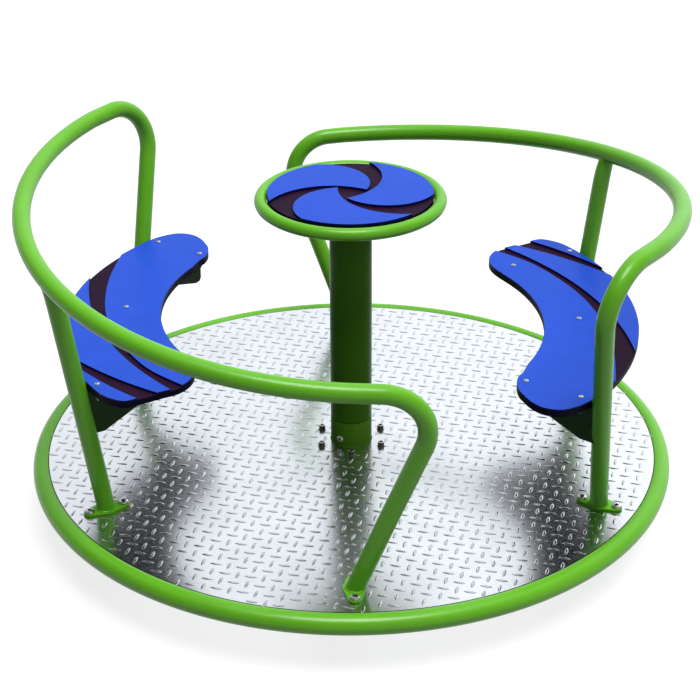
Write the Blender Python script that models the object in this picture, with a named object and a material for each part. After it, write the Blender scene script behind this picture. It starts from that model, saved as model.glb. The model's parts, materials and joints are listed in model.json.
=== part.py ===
# Playground roundabout: a round chequer-plate deck with bent hand rails and two bench seats
# turns about a fixed middle column that carries a round table.
# Metres, +Z up, the turning axis is the Z axis and the ground is at Z = 0.

import math

import bmesh
import bpy
from mathutils import Vector

# Common sizes
GAP = 0.0003
WALL_PLATE = 0.005
TUBE_SIDES = 14
ROUND_SIDES = 32

# Rim and deck
OUTER_RADIUS = 0.79
RIM_TUBE = 0.02415
RIM_RADIUS = OUTER_RADIUS - RIM_TUBE
RIM_Z = 0.12
RIM_SEGMENTS = 72
RIM_PHASE = 2.5
DECK_TOP = RIM_Z + 0.0203
DECK_THICK = 0.005
DECK_UNDER = DECK_TOP - DECK_THICK
DECK_RADIUS = 0.7462
DECK_TOP_RADIUS = 0.7520

# Middle column, bearing and ground foot
COLUMN_RADIUS = 0.0508
COLLAR_TOP = RIM_Z + 0.0850
COLUMN_BOTTOM = RIM_Z + 0.0875
SPINDLE_RADIUS = 0.030
BORE_RADIUS = 0.0308
DRUM_RADIUS = 0.100
DRUM_BOTTOM = RIM_Z - 0.0238
HOUSING_RADIUS = 0.070
HOUSING_BOTTOM = 0.055
THRUST_RADIUS = 0.045
THRUST_TOP = HOUSING_BOTTOM - 0.0005
BOSS_RADIUS = 0.060
BOSS_TOP = 0.048
FOOT_RADIUS = 0.225
FOOT_THICK = 0.012
ANCHOR_CIRCLE = 0.190
ANCHOR_COUNT = 6
ANCHOR_RADIUS = 0.014
ANCHOR_HEIGHT = 0.014
GUSSET_REACH = 0.165
GUSSET_COUNT = 6
GUSSET_THICK = 0.008

# Arms under the deck
ARM_ANGLES = (-30, 30, 90, 150, 210, 270)
ARM_WIDTH = 0.060
ARM_TOP = DECK_UNDER - GAP
ARM_BOTTOM = DRUM_BOTTOM
ARM_END = 0.012

# Feet of the rails and posts
FOOT_ANGLES = (-28.9, 30.3, 90.5, 151.1, 210.3, 270.5)
FOOT_CIRCLE = 0.6645
FLANGE_THICK = 0.006
FLANGE_HALF = 0.0565
FLANGE_END = 0.0145
FLANGE_WAIST = 0.0265
FLANGE_BOLT = 0.043
FLANGE_TOP = DECK_TOP + GAP + FLANGE_THICK
FOOT_BOLT_RADIUS = 0.0120
FOOT_BOLT_HEIGHT = 0.0065
HUB_BOLT_RADIUS = 0.0085
HUB_BOLT_CIRCLE = 0.085
HUB_BOLT_HEIGHT = 0.0145

# Hand rail
RAIL_TUBE = 0.0212
RAIL_ARC_FROM = -33.3
RAIL_ARC_TO = 93.1
RAIL_R_START = 0.7727
RAIL_R_END = 0.7446
RAIL_R_FROM = -37
RAIL_R_TO = 94
RAIL_LEVEL = RIM_Z + 0.6313
RAIL_SLOPE_X = 0.0602
RAIL_SLOPE_Y = -0.1096
LEG_1_KNEE = (0.5735, -0.3578, RIM_Z + 0.0835)
CORNER_1 = (0.5223, -0.5873, RIM_Z + 0.7224)
CORNER_1_BEND = 0.105
CORNER_2 = (-0.1982, 0.7314, RIM_Z + 0.5324)
CORNER_2_BEND = 0.1048
LEG_2_KNEE = (-0.0889, 0.6936, RIM_Z + 0.2456)
LEG_BEND = 0.60

# Post between the deck and the rail
POST_ANGLE = FOOT_ANGLES[1]
POST_TOP_R = 0.7530
POST_TOP_DROP = 0.008

# Bench seat
SEAT_TOP = RIM_Z + 0.3677
CORE_THICK = 0.014
SKIN_THICK = 0.005
SEAT_UNDER = SEAT_TOP - SKIN_THICK - CORE_THICK
SEAT_OUTER = 0.691
SEAT_OUTER_FROM = -41
SEAT_OUTER_TO = 36
SEAT_INNER_CENTRE = (-0.0225, -0.0412)
SEAT_INNER = 0.4846
SEAT_INNER_FROM = -28
SEAT_INNER_TO = 31
FAR_TIP = ((0.530, 0.430), (0.499, 0.441), (0.465, 0.424), (0.425, 0.400),
           (0.385, 0.376), (0.362, 0.340), (0.356, 0.300), (0.366, 0.258))
NEAR_TIP = ((0.390, -0.311), (0.378, -0.332), (0.3715, -0.362), (0.3735, -0.396), (0.3815, -0.4195),
            (0.396, -0.451), (0.420, -0.478), (0.455, -0.4885), (0.487, -0.4785))
MAIN_BLADE_EDGE = ((-30, 0.689), (-20, 0.648), (-10, 0.617), (0, 0.594),
                   (12, 0.571), (25, 0.552), (35, 0.541), (50, 0.525))
MIDDLE_BLADE_INNER = (-0.2719, -0.2546, 0.9314)
MIDDLE_BLADE_OUTER = (-0.0522, -0.4039, 0.9409)
OUTER_BLADE_INNER = (-0.0739, -0.2714, 0.8890)

# Seat brackets
POST_BRACKET_ANGLE = POST_ANGLE
LEG_BRACKET_ANGLE = -38.3
BRACKET_INNER = 0.495
BRACKET_LEVEL_R = 0.655
BRACKET_LEAF_R = 0.685
BRACKET_END_DEPTH = 0.043
POST_BRACKET_DEPTH = 0.118
LEG_BRACKET_DEPTH = 0.100
BRACKET_FLANGE = 0.050
BRACKET_CORNER = 0.014

# Table on the column
RING_RADIUS = 0.2115
RING_TUBE = 0.015
RING_Z = RIM_Z + 0.6643
RING_SEGMENTS = 48
PANEL_RADIUS = 0.1958
PANEL_TOP = RIM_Z + 0.6831
PANEL_CORE = 0.0134
PANEL_UNDER = RING_Z - 0.0002
PANEL_CORE_TOP = PANEL_UNDER + PANEL_CORE
TABLE_PLATE_RADIUS = 0.1960
TABLE_PLATE_TOP = PANEL_UNDER - GAP
TABLE_PLATE_UNDER = TABLE_PLATE_TOP - WALL_PLATE
BLADE_CONVEX = (21.8, 0.0927, 0.1198)
BLADE_CONCAVE = (128.9, 0.1271, 0.1551)
BLADE_EDGE_FROM = -3.2
BLADE_EDGE_TO = 74.0
COLUMN_TOP = TABLE_PLATE_UNDER - GAP


for old in list(bpy.data.objects):
    bpy.data.objects.remove(old, do_unlink=True)


def make_material(name, colour, roughness, metallic=0.0):
    material = bpy.data.materials.new(name)
    material.use_nodes = True
    shader = material.node_tree.nodes["Principled BSDF"]
    shader.inputs["Base Color"].default_value = (*colour, 1.0)
    shader.inputs["Roughness"].default_value = roughness
    shader.inputs["Metallic"].default_value = metallic
    return material


GREEN = make_material("green_tube_paint", (0.12, 0.42, 0.02), 0.30)
DARK_GREEN = make_material("dark_green_paint", (0.02, 0.09, 0.015), 0.40)
DECK_METAL = make_material("bare_deck_plate", (0.62, 0.62, 0.65), 0.28, 1.0)
BLUE = make_material("blue_board_skin", (0.05, 0.12, 0.80), 0.40)
CORE = make_material("dark_board_core", (0.045, 0.010, 0.016), 0.45)
BRIGHT = make_material("bright_bolt_steel", (0.60, 0.60, 0.58), 0.30, 1.0)
ZINC = make_material("zinc_foot_steel", (0.42, 0.43, 0.44), 0.50, 1.0)


def polar(angle, radius, z=None):
    a = math.radians(angle)
    if z is None:
        return (radius * math.cos(a), radius * math.sin(a))
    return Vector((radius * math.cos(a), radius * math.sin(a), z))


def finish(name, bm, material, smooth=True):
    bmesh.ops.recalc_face_normals(bm, faces=bm.faces)
    mesh = bpy.data.meshes.new(name)
    bm.to_mesh(mesh)
    bm.free()
    mesh.materials.append(material)
    if smooth:
        mesh.shade_smooth()
        mesh.set_sharp_from_angle(angle=math.radians(38))
    piece = bpy.data.objects.new(name, mesh)
    bpy.context.scene.collection.objects.link(piece)
    return piece


def combine(piece, others, operation):
    # Booleans are applied at once and the cutting shapes are taken out again.
    for other in others:
        step = piece.modifiers.new("combine", "BOOLEAN")
        step.operation = operation
        step.solver = "EXACT"
        step.object = other
    bpy.context.view_layer.update()
    graph = bpy.context.evaluated_depsgraph_get()
    merged = bpy.data.meshes.new_from_object(piece.evaluated_get(graph))
    piece.modifiers.clear()
    piece.data = merged
    for other in others:
        bpy.data.objects.remove(other, do_unlink=True)
    return piece


def prism(name, outline, low, high, material, smooth=True):
    bm = bmesh.new()
    bottom = [bm.verts.new((x, y, low)) for x, y in outline]
    top = [bm.verts.new((x, y, high)) for x, y in outline]
    bm.faces.new(bottom[::-1])
    bm.faces.new(top)
    for i in range(len(outline)):
        j = (i + 1) % len(outline)
        bm.faces.new((bottom[i], bottom[j], top[j], top[i]))
    return finish(name, bm, material, smooth)


def upright(name, outline, thick, material):
    # A plate standing in the XZ plane, from a list of radius and height.
    bm = bmesh.new()
    near = [bm.verts.new((r, -thick / 2, z)) for r, z in outline]
    far = [bm.verts.new((r, thick / 2, z)) for r, z in outline]
    bm.faces.new(near)
    bm.faces.new(far[::-1])
    for i in range(len(outline)):
        j = (i + 1) % len(outline)
        bm.faces.new((near[i], far[i], far[j], near[j]))
    return finish(name, bm, material)


def turned(name, profile, sides, material, phase=0.0):
    # The profile is a closed list of radius and height; points at radius 0 share one vertex.
    bm = bmesh.new()
    columns = []
    for radius, z in profile:
        if radius == 0:
            columns.append([bm.verts.new((0, 0, z))])
        else:
            columns.append([bm.verts.new(polar(phase + 360 * k / sides, radius, z)) for k in range(sides)])
    for i in range(len(profile)):
        one = columns[i]
        two = columns[(i + 1) % len(profile)]
        if len(one) == 1 and len(two) == 1:
            continue
        for k in range(sides):
            m = (k + 1) % sides
            if len(one) == 1:
                bm.faces.new((one[0], two[m], two[k]))
            elif len(two) == 1:
                bm.faces.new((one[k], one[m], two[0]))
            else:
                bm.faces.new((one[k], one[m], two[m], two[k]))
    return finish(name, bm, material)


def place(piece, spot, turn=0.0):
    spin = math.radians(turn)
    for vertex in piece.data.vertices:
        x, y, z = vertex.co
        vertex.co = (x * math.cos(spin) - y * math.sin(spin) + spot[0],
                     x * math.sin(spin) + y * math.cos(spin) + spot[1],
                     z + spot[2])
    return piece


def ring_tube(name, radius, tube, z, segments, sides, phase, material):
    bm = bmesh.new()
    rings = []
    for k in range(segments):
        rings.append([])
        for s in range(sides):
            a = 2 * math.pi * s / sides
            rings[-1].append(bm.verts.new(polar(phase + 360 * k / segments,
                                                radius + tube * math.cos(a), z + tube * math.sin(a))))
    for k in range(segments):
        one = rings[k]
        two = rings[(k + 1) % segments]
        for s in range(sides):
            t = (s + 1) % sides
            bm.faces.new((one[s], one[t], two[t], two[s]))
    return finish(name, bm, material)


def frames_along(path):
    # A direction and two square axes at each point, turned as little as possible on the way.
    frames = []
    side = None
    for i, point in enumerate(path):
        before = path[max(i - 1, 0)]
        after = path[min(i + 1, len(path) - 1)]
        ahead = (after - before).normalized()
        if side is None:
            side = ahead.cross(Vector((0, 0, 1))) if abs(ahead.z) < 0.9 else ahead.cross(Vector((0, 1, 0)))
        side = (side - ahead * side.dot(ahead)).normalized()
        frames.append((point, side, ahead.cross(side)))
    return frames


def swept(name, frames, radius, sides, material):
    bm = bmesh.new()
    rings = []
    for point, side, over in frames:
        rings.append([])
        for s in range(sides):
            a = 2 * math.pi * s / sides
            rings[-1].append(bm.verts.new(point + radius * (math.cos(a) * side + math.sin(a) * over)))
    for one, two in zip(rings[:-1], rings[1:]):
        for s in range(sides):
            t = (s + 1) % sides
            bm.faces.new((one[s], one[t], two[t], two[s]))
    bm.faces.new(rings[0][::-1])
    bm.faces.new(rings[-1])
    return finish(name, bm, material)


def cut_level(piece, height):
    # Takes away all that lies below a level plane and closes the cut.
    bm = bmesh.new()
    bm.from_mesh(piece.data)
    geometry = bm.verts[:] + bm.edges[:] + bm.faces[:]
    cut = bmesh.ops.bisect_plane(bm, geom=geometry, plane_co=(0, 0, height), plane_no=(0, 0, -1),
                                 clear_outer=True)
    rim = [e for e in cut["geom_cut"] if isinstance(e, bmesh.types.BMEdge)]
    bmesh.ops.contextual_create(bm, geom=rim)
    bmesh.ops.recalc_face_normals(bm, faces=bm.faces)
    bm.to_mesh(piece.data)
    bm.free()
    return piece


def bend(before, corner, after, radius, steps):
    # Points on the arc that rounds a corner between two straight runs.
    a = (before - corner).normalized()
    b = (after - corner).normalized()
    half = a.angle(b) / 2
    middle = corner + (a + b).normalized() * (radius / math.sin(half))
    start = corner + a * (radius / math.tan(half))
    end = corner + b * (radius / math.tan(half))
    first = (start - middle) / radius
    last = end - middle
    second = (last - first * last.dot(first)).normalized()
    sweep = math.pi - 2 * half
    return [middle + radius * (math.cos(sweep * k / steps) * first + math.sin(sweep * k / steps) * second)
            for k in range(steps + 1)]


def rail_point(angle):
    share = (angle - RAIL_R_FROM) / (RAIL_R_TO - RAIL_R_FROM)
    radius = RAIL_R_START + (RAIL_R_END - RAIL_R_START) * share
    x, y = polar(angle, radius)
    return Vector((x, y, RAIL_LEVEL + RAIL_SLOPE_X * x + RAIL_SLOPE_Y * y))


def rail_path():
    foot_1 = polar(FOOT_ANGLES[0], FOOT_CIRCLE, DECK_TOP)
    foot_2 = polar(FOOT_ANGLES[2], FOOT_CIRCLE, DECK_TOP)
    corner_1 = Vector(CORNER_1)
    corner_2 = Vector(CORNER_2)
    knee_1 = Vector(LEG_1_KNEE)
    knee_2 = Vector(LEG_2_KNEE)
    steps = 28
    arc = [rail_point(RAIL_ARC_FROM + (RAIL_ARC_TO - RAIL_ARC_FROM) * k / steps) for k in range(steps + 1)]
    path = [foot_1 + (foot_1 - knee_1).normalized() * 0.03]
    path += bend(foot_1, knee_1, corner_1, LEG_BEND, 3)
    path += bend(knee_1, corner_1, arc[0], CORNER_1_BEND, 11)
    path += arc[1:-1]
    path += bend(arc[-1], corner_2, knee_2, CORNER_2_BEND, 10)
    path += bend(corner_2, knee_2, foot_2, LEG_BEND, 3)
    path.append(foot_2 + (foot_2 - knee_2).normalized() * 0.03)
    return path


# The fixed middle: ground foot with its spindle, column and table

foot_profile = [(0, 0), (FOOT_RADIUS, 0), (FOOT_RADIUS, FOOT_THICK), (BOSS_RADIUS, FOOT_THICK),
                (BOSS_RADIUS, BOSS_TOP), (THRUST_RADIUS, BOSS_TOP), (THRUST_RADIUS, THRUST_TOP),
                (SPINDLE_RADIUS, THRUST_TOP), (SPINDLE_RADIUS, COLUMN_BOTTOM - GAP),
                (0, COLUMN_BOTTOM - GAP)]
ground_foot = turned("ground_foot", foot_profile, ROUND_SIDES, ZINC)
extras = []
for k in range(ANCHOR_COUNT):
    head = [polar(60 * s, ANCHOR_RADIUS) for s in range(6)]
    nut = prism("anchor", head, FOOT_THICK - 0.002, FOOT_THICK + ANCHOR_HEIGHT, ZINC)
    extras.append(place(nut, (*polar(360 * k / ANCHOR_COUNT, ANCHOR_CIRCLE), 0)))
for k in range(GUSSET_COUNT):
    corners = [(BOSS_RADIUS - 0.005, FOOT_THICK - 0.002), (GUSSET_REACH, FOOT_THICK - 0.002),
               (GUSSET_REACH, FOOT_THICK + 0.006), (BOSS_RADIUS - 0.005, BOSS_TOP - 0.004)]
    extras.append(place(upright("gusset", corners, GUSSET_THICK, ZINC), (0, 0, 0), 360 * (k + 0.5) / GUSSET_COUNT))
combine(ground_foot, extras, "UNION")

turned("column", [(0, COLUMN_BOTTOM), (COLUMN_RADIUS, COLUMN_BOTTOM), (COLUMN_RADIUS, COLUMN_TOP),
                  (0, COLUMN_TOP)], ROUND_SIDES, GREEN)
turned("table_plate", [(0, TABLE_PLATE_UNDER), (TABLE_PLATE_RADIUS, TABLE_PLATE_UNDER),
                       (TABLE_PLATE_RADIUS, TABLE_PLATE_TOP), (0, TABLE_PLATE_TOP)],
       RING_SEGMENTS, DARK_GREEN)
ring_tube("table_ring", RING_RADIUS, RING_TUBE, RING_Z, RING_SEGMENTS, 12, 0.0, GREEN)
prism("table_core", [polar(360 * k / RING_SEGMENTS, PANEL_RADIUS) for k in range(RING_SEGMENTS)],
      PANEL_UNDER, PANEL_CORE_TOP, CORE)


def arc_points(centre, radius, start, end, steps):
    # Points on a circle from one point's bearing to another's, the short way round.
    a = math.atan2(start[1] - centre[1], start[0] - centre[0])
    b = math.atan2(end[1] - centre[1], end[0] - centre[0])
    turn = (b - a + math.pi) % (2 * math.pi) - math.pi
    return [(centre[0] + radius * math.cos(a + turn * k / steps),
             centre[1] + radius * math.sin(a + turn * k / steps)) for k in range(steps + 1)]


def circles_meet(one, r_one, two, r_two, wanted):
    # Of the two crossings of two circles, the one nearer to the wanted point.
    dx = two[0] - one[0]
    dy = two[1] - one[1]
    apart = math.hypot(dx, dy)
    along = (r_one ** 2 - r_two ** 2 + apart ** 2) / (2 * apart)
    off = math.sqrt(r_one ** 2 - along ** 2)
    found = []
    for sign in (1, -1):
        found.append((one[0] + (along * dx - sign * off * dy) / apart,
                      one[1] + (along * dy + sign * off * dx) / apart))
    return min(found, key=lambda p: math.hypot(p[0] - wanted[0], p[1] - wanted[1]))


def table_blade_outline():
    convex = polar(BLADE_CONVEX[0], BLADE_CONVEX[1])
    concave = polar(BLADE_CONCAVE[0], BLADE_CONCAVE[1])
    middle = (0.0, 0.0)
    start = circles_meet(middle, PANEL_RADIUS, convex, BLADE_CONVEX[2], polar(BLADE_EDGE_FROM, PANEL_RADIUS))
    end = circles_meet(middle, PANEL_RADIUS, concave, BLADE_CONCAVE[2], polar(BLADE_EDGE_TO, PANEL_RADIUS))
    tip = circles_meet(convex, BLADE_CONVEX[2], concave, BLADE_CONCAVE[2], polar(-88, 0.040))
    outline = arc_points(middle, PANEL_RADIUS, start, end, 12)
    outline += arc_points(concave, BLADE_CONCAVE[2], end, tip, 14)[1:]
    outline += arc_points(convex, BLADE_CONVEX[2], tip, start, 14)[1:-1]
    return outline


for k in range(3):
    blade = prism("table_blade_%d" % (k + 1), table_blade_outline(), PANEL_CORE_TOP + GAP, PANEL_TOP, BLUE)
    place(blade, (0, 0, 0), 120 * k)

# The turning platform: rim, deck, hub and arms

ring_tube("rim", RIM_RADIUS, RIM_TUBE, RIM_Z, RIM_SEGMENTS, TUBE_SIDES, RIM_PHASE, GREEN)

deck = prism("deck", [polar(RIM_PHASE + 360 * k / RIM_SEGMENTS, DECK_RADIUS) for k in range(RIM_SEGMENTS)],
             DECK_UNDER, DECK_TOP, DECK_METAL)
# The deck's edge leans outwards, as the round of the rim does there.
for vertex in deck.data.vertices:
    if vertex.co.z > DECK_UNDER + DECK_THICK / 2:
        vertex.co.x *= DECK_TOP_RADIUS / DECK_RADIUS
        vertex.co.y *= DECK_TOP_RADIUS / DECK_RADIUS
hole = [polar(360 * k / ROUND_SIDES, COLUMN_RADIUS + GAP) for k in range(ROUND_SIDES)]
combine(deck, [prism("deck_hole", hole, DECK_UNDER - 0.01, DECK_TOP + 0.01, DECK_METAL)], "DIFFERENCE")

turned("hub", [(BORE_RADIUS, HOUSING_BOTTOM), (HOUSING_RADIUS, HOUSING_BOTTOM), (HOUSING_RADIUS, DRUM_BOTTOM),
               (DRUM_RADIUS, DRUM_BOTTOM), (DRUM_RADIUS, DECK_UNDER - GAP), (COLUMN_RADIUS, DECK_UNDER - GAP),
               (COLUMN_RADIUS, COLLAR_TOP), (BORE_RADIUS, COLLAR_TOP)], ROUND_SIDES, GREEN)

# Each arm meets one flat stretch of the rim, so its end is cut to the rim's own section.
facet_radius = RIM_RADIUS * math.cos(math.pi / RIM_SEGMENTS)
rim_section = [(facet_radius + (RIM_TUBE + GAP) * math.cos(2 * math.pi * s / TUBE_SIDES),
                RIM_Z + (RIM_TUBE + GAP) * math.sin(2 * math.pi * s / TUBE_SIDES)) for s in range(TUBE_SIDES)]
arm_section = [(DRUM_RADIUS - 0.02, ARM_BOTTOM), (facet_radius - ARM_END, ARM_BOTTOM),
               (facet_radius - ARM_END, ARM_TOP), (DRUM_RADIUS - 0.02, ARM_TOP)]
drum_outline = [polar(360 * s / ROUND_SIDES, DRUM_RADIUS + GAP) for s in range(ROUND_SIDES)]
for k, angle in enumerate(ARM_ANGLES):
    arm = place(upright("arm_%d" % (k + 1), arm_section, ARM_WIDTH, DARK_GREEN), (0, 0, 0), angle)
    rim_cut = place(upright("rim_cut", rim_section, ARM_WIDTH * 2, DARK_GREEN), (0, 0, 0), angle)
    drum_cut = prism("drum_cut", drum_outline, ARM_BOTTOM - 0.01, ARM_TOP + 0.01, DARK_GREEN)
    combine(arm, [rim_cut, drum_cut], "DIFFERENCE")


def bolt_head(name, radius, height, base, material):
    return turned(name, [(0, base), (radius, base), (radius, base + height * 0.35),
                         (radius * 0.80, base + height * 0.80), (radius * 0.40, base + height),
                         (0, base + height)], 12, material)


def flange_outline():
    # A plate with narrow round ends and a wide round waist.
    points = []
    for side in (1, -1):
        centre = side * (FLANGE_HALF - FLANGE_END)
        lean = math.degrees(math.acos((FLANGE_WAIST - FLANGE_END) / (FLANGE_HALF - FLANGE_END)))
        start = 0 if side == 1 else 180
        for k in range(7):
            a = start - lean + 2 * lean * k / 6
            x, y = polar(a, FLANGE_END)
            points.append((x + centre, y))
        for k in range(5):
            a = start + lean + (180 - 2 * lean) * k / 4
            points.append(polar(a, FLANGE_WAIST))
    return points


for k, angle in enumerate(FOOT_ANGLES):
    flange = prism("foot_flange_%d" % (k + 1), flange_outline(), DECK_TOP + GAP, FLANGE_TOP, GREEN)
    heads = []
    for offset in (-FLANGE_BOLT, FLANGE_BOLT):
        head = bolt_head("head", FOOT_BOLT_RADIUS, FOOT_BOLT_HEIGHT + 0.002, FLANGE_TOP - 0.002, BRIGHT)
        heads.append(place(head, (offset, 0, 0)))
    combine(flange, heads, "UNION")
    place(flange, (*polar(angle, FOOT_CIRCLE), 0), angle)

for k in range(6):
    head = bolt_head("hub_bolt_%d" % (k + 1), HUB_BOLT_RADIUS, HUB_BOLT_HEIGHT, DECK_TOP + GAP, BRIGHT)
    place(head, (*polar(30 + 60 * k, HUB_BOLT_CIRCLE), 0))

# Hand rails, posts, seats and brackets: the left set is the right set turned by half a turn


def board_outline():
    outline = [polar(SEAT_OUTER_FROM + (SEAT_OUTER_TO - SEAT_OUTER_FROM) * k / 20, SEAT_OUTER) for k in range(21)]
    outline += smooth_run(outline[-1], FAR_TIP)
    for k in range(17):
        x, y = polar(SEAT_INNER_TO + (SEAT_INNER_FROM - SEAT_INNER_TO) * k / 16, SEAT_INNER)
        outline.append((x + SEAT_INNER_CENTRE[0], y + SEAT_INNER_CENTRE[1]))
    outline += smooth_run(outline[-1], NEAR_TIP)
    return outline


def smooth_run(before, points):
    # Each span gets one more point, on a smooth curve through its neighbours.
    run = []
    chain = [before] + list(points)
    for i in range(1, len(chain)):
        run.append(chain[i])
        if 1 <= i < len(chain) - 2:
            a, b, c, d = [Vector(p) for p in chain[i - 1:i + 3]]
            middle = (9 * (b + c) - a - d) / 16
            run.append((middle.x, middle.y))
    return run


def circle_run(circle, start, end, steps):
    # Where rays from the axis cross a circle that holds the axis.
    cx, cy, radius = circle
    points = []
    for k in range(steps + 1):
        dx, dy = polar(start + (end - start) * k / steps, 1.0)
        along = dx * cx + dy * cy
        reach = along + math.sqrt(along ** 2 - cx ** 2 - cy ** 2 + radius ** 2)
        points.append((dx * reach, dy * reach))
    return points


def blade_regions():
    edge = [polar(a, r) for a, r in MAIN_BLADE_EDGE]
    main = smooth_run(edge[0], edge[1:])
    main = [polar(-60, 0.90), polar(-38, 0.735), edge[0]] + main + [polar(60, 0.45), polar(0, 0.35), polar(-60, 0.45)]
    middle = circle_run(MIDDLE_BLADE_OUTER, -28, 48, 22) + circle_run(MIDDLE_BLADE_INNER, 48, -28, 22)
    outer = circle_run(OUTER_BLADE_INNER, 55, 5, 16) + [polar(5, 0.95), polar(30, 0.95), polar(55, 0.95)]
    return main, middle, outer


def radius_at(frames, height):
    # How far from the axis a leg's centre line is at a height.
    for one, two in zip(frames[:-1], frames[1:]):
        if one[0].z <= height <= two[0].z:
            point = one[0].lerp(two[0], (height - one[0].z) / (two[0].z - one[0].z))
            return math.hypot(point.x, point.y)
    raise ValueError("the leg does not reach this height")


def bracket(name, angle, tube_frames, depth, fold, turn):
    # An upright web welded to a leg, with its top edge folded into a leaf under the board.
    top = SEAT_UNDER - GAP
    web = [(BRACKET_INNER, top),
           (radius_at(tube_frames, top), top),
           (radius_at(tube_frames, top - depth), top - depth),
           (BRACKET_LEVEL_R, top - depth),
           (BRACKET_INNER + BRACKET_CORNER * 1.2, top - BRACKET_END_DEPTH - BRACKET_CORNER * 0.35),
           (BRACKET_INNER + BRACKET_CORNER * 0.35, top - BRACKET_END_DEPTH + BRACKET_CORNER * 0.30),
           (BRACKET_INNER, top - BRACKET_END_DEPTH + BRACKET_CORNER * 1.2)]
    plate = upright(name, web, WALL_PLATE, DARK_GREEN)
    y_near = fold * (WALL_PLATE / 2 - 0.001)
    y_far = fold * BRACKET_FLANGE
    leaf = [(BRACKET_INNER, y_near), (BRACKET_LEAF_R, y_near), (BRACKET_LEAF_R, y_far),
            (BRACKET_INNER + BRACKET_CORNER, y_far), (BRACKET_INNER, y_far - fold * BRACKET_CORNER)]
    combine(plate, [prism("leaf", leaf, top - WALL_PLATE, top, DARK_GREEN)], "UNION")
    place(plate, (0, 0, 0), angle)
    combine(plate, [swept("tube_cut", tube_frames, RAIL_TUBE + GAP, TUBE_SIDES, DARK_GREEN)], "DIFFERENCE")
    return place(plate, (0, 0, 0), turn)


post_foot = polar(POST_ANGLE, FOOT_CIRCLE, DECK_TOP)
rail_over_post = rail_point(POST_ANGLE)
post_top = polar(POST_ANGLE, POST_TOP_R, rail_over_post.z - POST_TOP_DROP)
post_way = (post_top - post_foot).normalized()
RAIL_FRAMES = frames_along(rail_path())
POST_FRAMES = frames_along([post_foot - post_way * 0.03, post_top])

for side, turn in (("right", 0), ("left", 180)):
    rail = swept("rail_" + side, RAIL_FRAMES, RAIL_TUBE, TUBE_SIDES, GREEN)
    cut_level(rail, FLANGE_TOP + GAP)
    place(rail, (0, 0, 0), turn)

    post = swept("post_" + side, POST_FRAMES, RAIL_TUBE, TUBE_SIDES, GREEN)
    cut_level(post, FLANGE_TOP + GAP)
    near_rail = [f for f in RAIL_FRAMES if (f[0] - rail_over_post).length < 0.14]
    combine(post, [swept("rail_cut", near_rail, RAIL_TUBE + GAP, TUBE_SIDES, GREEN)], "DIFFERENCE")
    place(post, (0, 0, 0), turn)

    core = prism("seat_core_" + side, board_outline(), SEAT_UNDER, SEAT_TOP - SKIN_THICK, CORE)
    place(core, (0, 0, 0), turn)
    for label, region in zip(("inner", "middle", "outer"), blade_regions()):
        skin = prism("seat_blade_%s_%s" % (side, label), board_outline(),
                     SEAT_TOP - SKIN_THICK + GAP, SEAT_TOP, BLUE)
        mask = prism("mask", region, SEAT_TOP - 0.03, SEAT_TOP + 0.03, BLUE)
        combine(skin, [mask], "INTERSECT")
        place(skin, (0, 0, 0), turn)

    bracket("seat_bracket_%s_post" % side, POST_BRACKET_ANGLE, POST_FRAMES, POST_BRACKET_DEPTH, 1, turn)
    bracket("seat_bracket_%s_leg" % side, LEG_BRACKET_ANGLE, RAIL_FRAMES[:7], LEG_BRACKET_DEPTH, -1, turn)
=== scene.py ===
import json
import math
import bmesh
import bpy
from mathutils import Matrix, Vector

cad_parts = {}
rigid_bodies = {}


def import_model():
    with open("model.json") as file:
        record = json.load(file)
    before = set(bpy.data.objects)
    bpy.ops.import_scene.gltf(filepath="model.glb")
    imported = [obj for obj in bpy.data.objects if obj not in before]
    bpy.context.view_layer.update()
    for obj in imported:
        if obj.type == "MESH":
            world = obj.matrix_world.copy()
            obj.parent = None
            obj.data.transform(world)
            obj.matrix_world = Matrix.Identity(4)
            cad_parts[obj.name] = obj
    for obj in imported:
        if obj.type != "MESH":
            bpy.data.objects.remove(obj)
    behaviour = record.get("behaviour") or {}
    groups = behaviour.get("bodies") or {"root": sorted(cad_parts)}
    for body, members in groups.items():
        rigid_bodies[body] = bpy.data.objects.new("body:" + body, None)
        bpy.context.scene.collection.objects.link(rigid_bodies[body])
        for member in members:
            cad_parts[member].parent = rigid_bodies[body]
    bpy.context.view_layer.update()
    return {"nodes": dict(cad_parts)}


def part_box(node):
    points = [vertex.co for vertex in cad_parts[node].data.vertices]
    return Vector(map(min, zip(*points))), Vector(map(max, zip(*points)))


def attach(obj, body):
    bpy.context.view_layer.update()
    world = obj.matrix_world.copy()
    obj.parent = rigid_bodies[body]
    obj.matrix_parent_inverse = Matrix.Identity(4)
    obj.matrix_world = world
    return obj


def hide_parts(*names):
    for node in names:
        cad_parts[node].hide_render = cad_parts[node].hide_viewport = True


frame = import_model()
scene = bpy.context.scene
nodes = frame["nodes"]
print("frame loaded:", len(nodes), "nodes")


# camera, at the photo's own angle
cameraSpec = {"spot": (0.0, -3.905, 2.384), "turn": (62.903, 0.193, -0.062), "lens": 92.15, "sensor": 36}
cameraData = bpy.data.cameras.new("photoCamera")
cameraData.lens = cameraSpec["lens"]
cameraData.sensor_width = cameraSpec["sensor"]
cameraObject = bpy.data.objects.new("photoCamera", cameraData)
cameraObject.location = cameraSpec["spot"]
cameraObject.rotation_euler = [math.radians(a) for a in cameraSpec["turn"]]
scene.collection.objects.link(cameraObject)
scene.camera = cameraObject
scene.view_settings.view_transform = "Standard"
print("camera set")


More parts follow.
